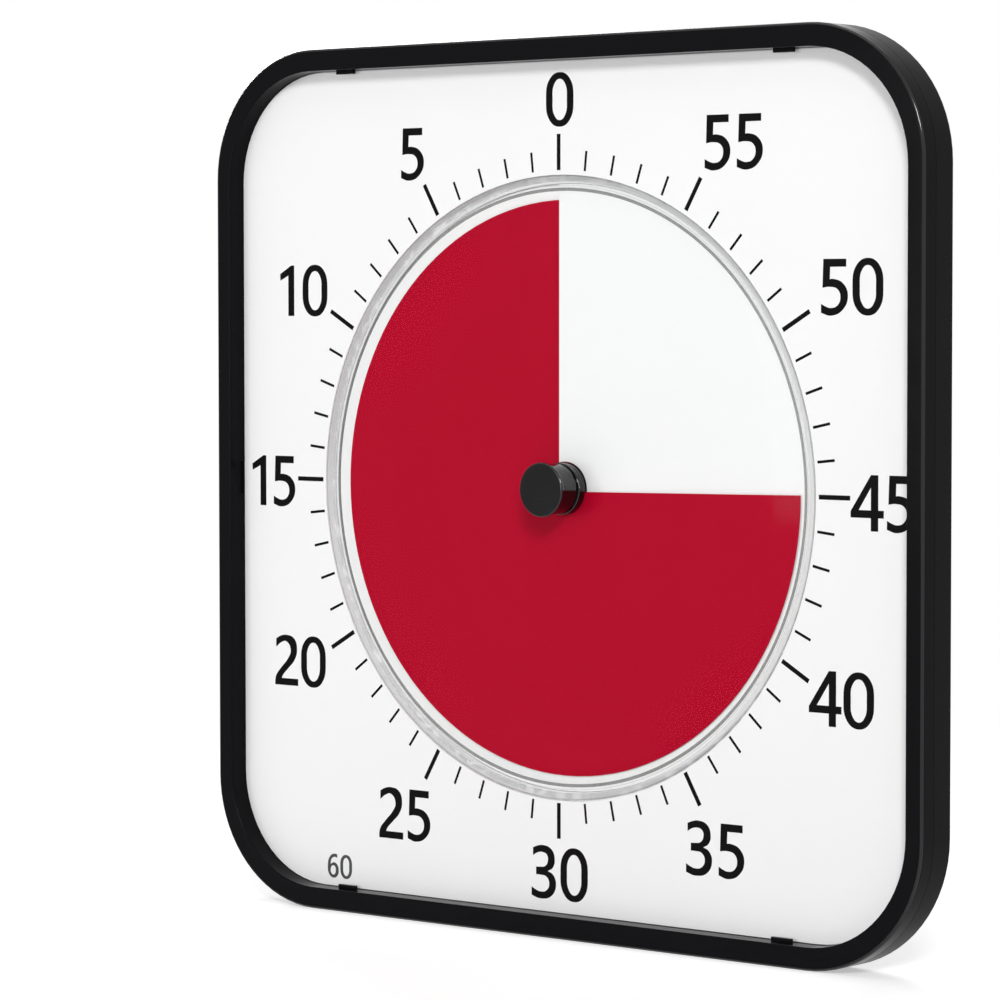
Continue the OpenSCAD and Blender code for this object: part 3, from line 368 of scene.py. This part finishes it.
def lathe(profile, steps, rise):
    """Turns a [radius, depth] profile about an axis that lies this much above the dial's"""
    line = chain([place(r, d, rise) for r, d in profile])
    bpy.ops.mesh.select_all(action="SELECT")
    bpy.ops.mesh.spin(steps=steps, angle=2 * pi, center=place(0, 0, rise), axis=(0, 1, 0))
    close_up(line)
    return line


def smooth_copy(node, material):
    """Copy of a solid with its loose triangles merged and shaded smooth, shown in the solid's place"""
    solid = frame["nodes"][node]
    body = solid["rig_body"]
    only(solid)
    bpy.ops.object.duplicate()
    piece = bpy.context.object
    del piece["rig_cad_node"], piece["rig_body"]
    piece.parent = None
    edit(piece)
    bpy.ops.mesh.remove_doubles(threshold=SOLID_WELD)
    bpy.ops.mesh.select_all(action="SELECT")
    bpy.ops.mesh.dissolve_limited(angle_limit=FLAT)
    bpy.ops.object.mode_set(mode="OBJECT")
    smooth(piece, 30)
    apply(piece, "WEIGHTED_NORMAL", keep_sharp=True, weight=100)
    finished(piece, node + "_moulding", body, material)
    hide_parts(node)
    return piece


def paint(piece, material, chosen):
    """Gives a further material to the faces for which chosen(x, depth, z, normal) holds"""
    piece.data.materials.append(material)
    last = len(piece.data.materials) - 1
    for face in piece.data.polygons:
        x, y, z = (1000 * length for length in face.center)
        if chosen(x, y + MID_D, z - DIAL_Z, face.normal):
            face.material_index = last


# ------------------------------------------------------------ case

CORNER_AT = FRAME_W / 2 - CORNER_R    # middle of a corner's rounding, off the dial's middle
ROUNDING_DEEP = 2


def front_rounding(x, d, z, normal):
    """Whether a face lies on the rounding of the front's outer edge"""
    out = hypot(max(abs(x) - CORNER_AT, 0), max(abs(z) - CORNER_AT, 0))
    return out > CORNER_R - BAND_W / 2 and -0.95 < normal.y < -0.2 and d < ROUNDING_DEEP


def faces_back(x, d, z, normal):
    """Whether a face looks backwards, or belongs to the housing on the back"""
    return normal.y > 0.3 or d > FRAME_D + 0.2


def faces_front(x, d, z, normal):
    """Whether a face is flat and stands ahead of the frame"""
    return normal.y < -0.98 and d < 0


paint(smooth_copy("front_bezel", gloss_black), edge_black, front_rounding)
paint(smooth_copy("rear_shell", shell_black), rear_black, faces_back)

# ------------------------------------------------------------ lens

LENS_RISE = 0.25
LENS_STEPS = 192
# Radius and depth, from the hole's front edge over the window's front, the rim and the back
LENS_PROFILE = [
    (13.1, 12.9), (13.3, 12.7), (60, 12.7), (100, 12.7), (142.6, 12.7), (142.9, 12.74), (144.0, 12.78),
    (144.2, 12.62), (145.1, 12.1), (145.4, 11.9), (146.5, 11.12), (146.75, 11.0), (147.2, 10.9),
    (148.9, 10.56), (149.5, 10.42), (150.0, 10.4), (150.2, 10.46), (150.3, 10.6), (150.3, 15), (147.3, 15),
    (147.3, 13.9), (60, 13.9), (13.3, 13.9), (13.1, 13.7), (13.1, 12.9)]
# Outer radius of each band of the front: window, crease, foot, fine line, foot, slope and outer edge
BANDS = ((142.6, clear), (144.15, crease_painted_shade), (145.1, clear_foot), (145.4, fine_line_painted_shade),
         (146.7, clear_foot), (149.5, rim_painted_shade), (151, outer_edge_painted_shade))
LENS_MATERIALS = (clear, rim_painted_shade, fine_line_painted_shade, crease_painted_shade, outer_edge_painted_shade, clear_foot)

lens = lathe(LENS_PROFILE, LENS_STEPS, LENS_RISE)
smooth(lens, 25)
finished(lens, "lens_cover", "case", clear)
for extra in LENS_MATERIALS[1:]:
    lens.data.materials.append(extra)
# Each face of the front gets its band's material. The crease, fine line, slope and outer edge carry painted
# shade.
for face in lens.data.polygons:
    if face.normal.y < -0.2:
        r = hypot(1000 * face.center.x, 1000 * face.center.z - DIAL_Z - LENS_RISE)
        band = next(material for limit, material in BANDS if r < limit)
        face.material_index = LENS_MATERIALS.index(band)
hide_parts("lens")

# ------------------------------------------------------------ printed scale

INK_T = 0.06
PRINT_RISE = 0.55
MINUTES = 60
TICK_IN, TICK_MAJOR, TICK_MINOR = 152.2, 169.5, 161.8
TICK_W = {True: 2.2, False: 1.3}    # of a mark for five minutes, and of one between


def printed_at(x, d, z):
    """Place on the card of a point of the printed scale"""
    return place(x, d, z + PRINT_RISE)


def tick(minute):
    """One mark of the scale, which counts anticlockwise"""
    major = minute % 5 == 0
    outer = TICK_MAJOR if major else TICK_MINOR
    a = radians(360 / MINUTES * minute)
    r = (TICK_IN + outer) / 2
    nothing_selected()
    bpy.ops.mesh.primitive_cube_add(
        size=1, location=printed_at(-r * sin(a), FACE_D - INK_T / 2, r * cos(a)),
        rotation=(0, -a, 0), scale=metres(TICK_W[major], INK_T, outer - TICK_IN))
    mark = bpy.context.object
    settle(mark)
    return mark


finished(joined([tick(m) for m in range(MINUTES)]), "scale_marks", "case", ink_black)

# Width and outlines of each numeral, 25.4 high. A point is (x, y) on a curve, or (x, y, 0) at a corner.
DIGITS = {
    "0": (16.8, [
        [(8.4, -0.25), (14.4, 2.7), (16.8, 12.8), (14.4, 22.9), (8.4, 25.8), (2.4, 22.9), (0, 12.8),
         (2.4, 2.7)],
        [(8.4, 2.9), (5.3, 5.0), (4.0, 12.8), (5.3, 20.6), (8.4, 22.6), (11.5, 20.6), (12.8, 12.8),
         (11.5, 5.0)]]),
    "1": (9.6, [
        [(5.6, 0, 0), (9.6, 0, 0), (9.6, 25.5, 0), (7.6, 25.5, 0), (0, 21.2, 0), (0.2, 17.9, 0),
         (5.6, 20.4, 0)]]),
    "2": (15.8, [
        [(0, 0, 0), (15.8, 0, 0), (15.8, 3.5, 0), (4.6, 3.5, 0), (5.0, 4.6), (8.9, 8.6), (13.5, 13.3),
         (15.1, 18.6), (13.2, 24.0), (8.0, 25.7), (3.6, 25.0), (0.8, 23.6, 0), (0.8, 19.3, 0), (4.2, 21.7),
         (7.7, 22.4), (10.8, 18.1), (9.0, 13.9), (4.5, 9.2), (0.7, 4.8), (0, 2.2, 0)]]),
    "3": (15.2, [
        [(0, 1.0, 0), (5.4, -0.3), (12.4, 1.5), (15.2, 7.2), (13.4, 11.8), (10.1, 13.4, 0), (13.2, 15.3),
         (14.4, 19.3), (12.4, 24.1), (7.4, 25.8), (3.4, 25.2), (0.9, 24.2, 0), (0.9, 20.4, 0), (3.8, 22.0),
         (7.0, 22.4), (9.4, 21.4), (10.2, 18.9), (8.7, 15.9), (5.0, 15.1), (2.8, 15.0, 0), (2.8, 11.3, 0),
         (5.2, 11.3), (9.4, 10.5), (11.0, 7.2), (9.3, 4.0), (5.4, 3.1), (2.4, 3.9), (0, 5.1, 0)]]),
    "4": (18.2, [
        [(11.2, 0, 0), (15.2, 0, 0), (15.2, 6.0, 0), (18.2, 6.0, 0), (18.2, 9.5, 0), (15.2, 9.5, 0),
         (15.2, 25.5, 0), (11.2, 25.5, 0), (0.1, 8.9, 0), (0.1, 6.0, 0), (11.2, 6.0, 0)],
        [(11.2, 9.5, 0), (4.5, 9.5, 0), (11.2, 19.8, 0)]]),
    "5": (14.8, [
        [(0, 1.0, 0), (5.4, -0.3), (11.8, 2.2), (14.8, 8.6), (12.2, 14.3), (6.6, 16.4), (4.8, 16.3, 0),
         (5.0, 21.9, 0), (13.8, 21.9, 0), (13.8, 25.5, 0), (1.2, 25.5, 0), (0.8, 12.4, 0), (4.8, 12.8),
         (9.1, 11.7), (10.7, 8.3), (9.1, 4.4), (5.4, 3.2), (2.5, 3.9), (0, 5.1, 0)]]),
    "6": (15.6, [
        [(7.9, -0.3), (13.6, 2.0), (15.6, 8.3), (13.4, 14.3), (8.6, 16.3), (4.0, 14.2, 0), (5.2, 19.6),
         (9.6, 22.3), (13.6, 21.6, 0), (13.6, 25.0, 0), (10.6, 25.8), (3.6, 22.9), (0, 12.2), (2.2, 2.8)],
        [(7.9, 3.0), (5.0, 4.6), (4.0, 8.2), (5.2, 11.7), (8.1, 13.0), (10.7, 11.6), (11.5, 8.1),
         (10.6, 4.5)]]),
}
# Left end and foot of each number, off the dial's middle, and the gap between its digits
NUMERALS = {
    "0": (-7.75, 173.1, 0), "5": (-99.85, 149.35, 0), "10": (-181.35, 82.3, 5.8),
    "15": (-201.1, -14.3, 5.2), "20": (-185.75, -105.7, 2.1), "25": (-115.25, -178.35, 3.0),
    "30": (-16.95, -199.2, 2.75), "35": (76.7, -179.7, 3.85), "40": (146.85, -104.8, 1.1),
    "45": (169.65, -14.7, 1.75), "50": (153.1, 83.0, 2.5), "55": (87.0, 150.25, 3.7),
}
SMALL_LEFT, SMALL_FOOT, SMALL_GAP, SMALL_SCALE = -150, -201.4, 2.4, 0.47
CURVE_STEPS = 6


def number(text, left, foot, gap, scale=1.0):
    """Printed number, its lower left corner at left and foot off the dial's middle"""
    nothing_selected()
    bpy.ops.curve.primitive_bezier_curve_add()
    outline = bpy.context.object
    outline.data.splines.clear()
    outline.data.dimensions = "2D"
    outline.data.fill_mode = "FRONT"
    outline.data.resolution_u = CURVE_STEPS
    at = 0
    for digit in text:
        wide, loops = DIGITS[digit]
        for loop in loops:
            spline = outline.data.splines.new("BEZIER")
            spline.bezier_points.add(len(loop) - 1)
            spline.use_cyclic_u = True
            for point, corner in zip(spline.bezier_points, loop):
                point.co = (at + corner[0], corner[1], 0)
                point.handle_left_type = point.handle_right_type = "VECTOR" if len(corner) == 3 else "AUTO"
        at += wide + gap
    only(outline)
    bpy.ops.object.convert(target="MESH")
    printed = bpy.context.object
    printed.scale = metres(scale, scale, 1)
    printed.rotation_euler = (pi / 2, 0, 0)
    printed.location = printed_at(left, FACE_D - INK_T, foot)
    settle(printed)
    edit(printed)
    bpy.ops.mesh.remove_doubles(threshold=WELD)
    bpy.ops.mesh.extrude_region_move(TRANSFORM_OT_translate={"value": metres(0, INK_T, 0)})
    close_up(printed)
    return printed


finished(joined([number(text, *where) for text, where in NUMERALS.items()]), "scale_numbers", "case",
         ink_black)

# Full turn of the scale, in small figures at the lower left
finished(number("60", SMALL_LEFT, SMALL_FOOT, SMALL_GAP, SMALL_SCALE), "scale_full_turn", "case",
         ink_grey)

# ------------------------------------------------------------ other solids, in their own finish

LOOKS = {
    "scale_card": card_white, "dial_tray": tray_white, "slotted_dial": film_white, "red_disc": film_red,
    "spindle": steel, "spindle_bush": brass, "spindle_clips": steel, "clutch_hub": brass,
    "clutch_spring": steel, "main_wheel": gear_white, "second_wheel": gear_white,
    "third_wheel": gear_white, "gear_pins": steel, "gearbox_cover": box_grey, "gearbox_base": box_grey,
    "gearbox_screws": steel, "drive_motor": steel, "motor_pinion": brass, "motor_leads": red_lead,
    "circuit_board": board_green, "board_parts": chip_black, "board_screws": steel,
    "loudspeaker": speaker_dark, "speaker_leads": black_lead, "range_switch": chip_black,
    "volume_control": chip_black, "batteries": cell_green, "battery_contacts": steel,
    "battery_leads": black_lead, "foot_pins": steel,
}
for node, material in LOOKS.items():
    solid = frame["nodes"][node]
    solid.data.materials.clear()
    solid.data.materials.append(material)

paint(smooth_copy("knob", knob_black), face_black, faces_front)
smooth_copy("disc_hub", knob_black)
for node in ("battery_door", "volume_wheel", "range_switch_knob", "left_foot", "right_foot"):
    smooth_copy(node, satin_black)
smooth_copy("left_foot_pad", rubber)
smooth_copy("right_foot_pad", rubber)
smooth_copy("case_screws", steel)

# ------------------------------------------------------------ floor, backdrop and lamps

WHITE = (1, 1, 1, 1)
BLACK = (0, 0, 0, 1)
PAPER = (0.82, 0.82, 0.82, 1)
SKY_LIGHT = 0.25                 # the backdrop's light on the object
FLOOR_SIZE = 30                  # in metres, as the next two
FADE_FROM, FADE_TO = 0.3, 1.1    # the floor fades into the backdrop between these distances
NEAR_GLOW = 0.46                 # of the floor's own white, under the object


def seen_directly(tree):
    """1 for rays from the camera, a mirror-like face or clear plastic, 0 for those that carry light"""
    path = tree.nodes.new("ShaderNodeLightPath")
    either = maths(tree, "MAXIMUM", path.outputs["Is Camera Ray"], path.outputs["Is Glossy Ray"])
    return maths(tree, "MAXIMUM", either, path.outputs["Is Transmission Ray"])


world = bpy.data.worlds.new("studio")
bpy.context.scene.world = world
world.use_nodes = True
sky = world.node_tree
sky_light = sky.nodes["Background"]
sky_light.inputs["Color"].default_value = WHITE
sky_light.inputs["Strength"].default_value = SKY_LIGHT
backdrop = sky.nodes.new("ShaderNodeBackground")
backdrop.inputs["Color"].default_value = WHITE
sky.links.new(mixed(sky, seen_directly(sky), sky_light.outputs["Background"], backdrop.outputs["Background"]),
              sky.nodes["World Output"].inputs["Surface"])


def studio_paper():
    """Pale paper that keeps the object's shadow and fades to plain white away from it"""
    material, tree, shader, mapping = new_finish("studio paper")
    nodes, links = tree.nodes, tree.links
    away = nodes.new("ShaderNodeVectorMath")
    away.operation = "LENGTH"
    links.new(mapping.outputs["Vector"], away.inputs[0])
    fade = nodes.new("ShaderNodeMapRange")
    fade.interpolation_type = "SMOOTHSTEP"
    fade.inputs["From Min"].default_value = FADE_FROM
    fade.inputs["From Max"].default_value = FADE_TO
    links.new(away.outputs["Value"], fade.inputs["Value"])
    seen = seen_directly(tree)
    colour = nodes.new("ShaderNodeMix")
    colour.data_type = "RGBA"
    colour.inputs["A"].default_value = PAPER
    colour.inputs["B"].default_value = BLACK
    links.new(maths(tree, "MULTIPLY", seen, fade.outputs["Result"]), colour.inputs["Factor"])
    links.new(colour.outputs["Result"], shader.inputs["Base Color"])
    shader.inputs["Roughness"].default_value = 0.9
    shader.inputs["Specular IOR Level"].default_value = 0.0
    strength = nodes.new("ShaderNodeMapRange")
    strength.inputs["To Min"].default_value = NEAR_GLOW
    links.new(fade.outputs["Result"], strength.inputs["Value"])
    glow = nodes.new("ShaderNodeEmission")
    glow.inputs["Color"].default_value = WHITE
    links.new(maths(tree, "MULTIPLY", seen, strength.outputs["Result"]), glow.inputs["Strength"])
    total = nodes.new("ShaderNodeAddShader")
    links.new(shader.outputs["BSDF"], total.inputs[0])
    links.new(glow.outputs["Emission"], total.inputs[1])
    links.new(total.outputs["Shader"], nodes["Material Output"].inputs["Surface"])
    return material


nothing_selected()
bpy.ops.mesh.primitive_plane_add(size=FLOOR_SIZE, location=(0, 0, 0))
floor = bpy.context.object
floor.name = floor.data.name = "floor"
floor.data.materials.append(studio_paper())


def softbox(name, at, turn, width, height, watts):
    """Rectangular lamp, placed in metres and turned in degrees"""
    nothing_selected()
    bpy.ops.object.light_add(type="AREA", location=at, rotation=[radians(t) for t in turn])
    lamp = bpy.context.object
    lamp.name = lamp.data.name = name
    lamp.data.shape = "RECTANGLE"
    lamp.data.size = width
    lamp.data.size_y = height
    lamp.data.energy = watts


softbox("key lamp", (2.9, -3.5, 2.33), (64.5, 0, 39.7), 1.0, 1.0, 127)
softbox("front lamp", (-0.9, -3.2, 0.25), (90, 0, -15.8), 1.6, 1.2, 39)
softbox("overhead lamp", (-0.4, -0.9, 2.7), (18, 0, -20), 1.6, 1.2, 6)
softbox("back lamp", (-0.3, 1.7, 2.8), (-33.6, 0, 10), 1.6, 1.2, 18)
softbox("rear lamp", (-2.75, 2.3, 1.3), (73.2, 0, -129.9), 1.4, 1.2, 78)
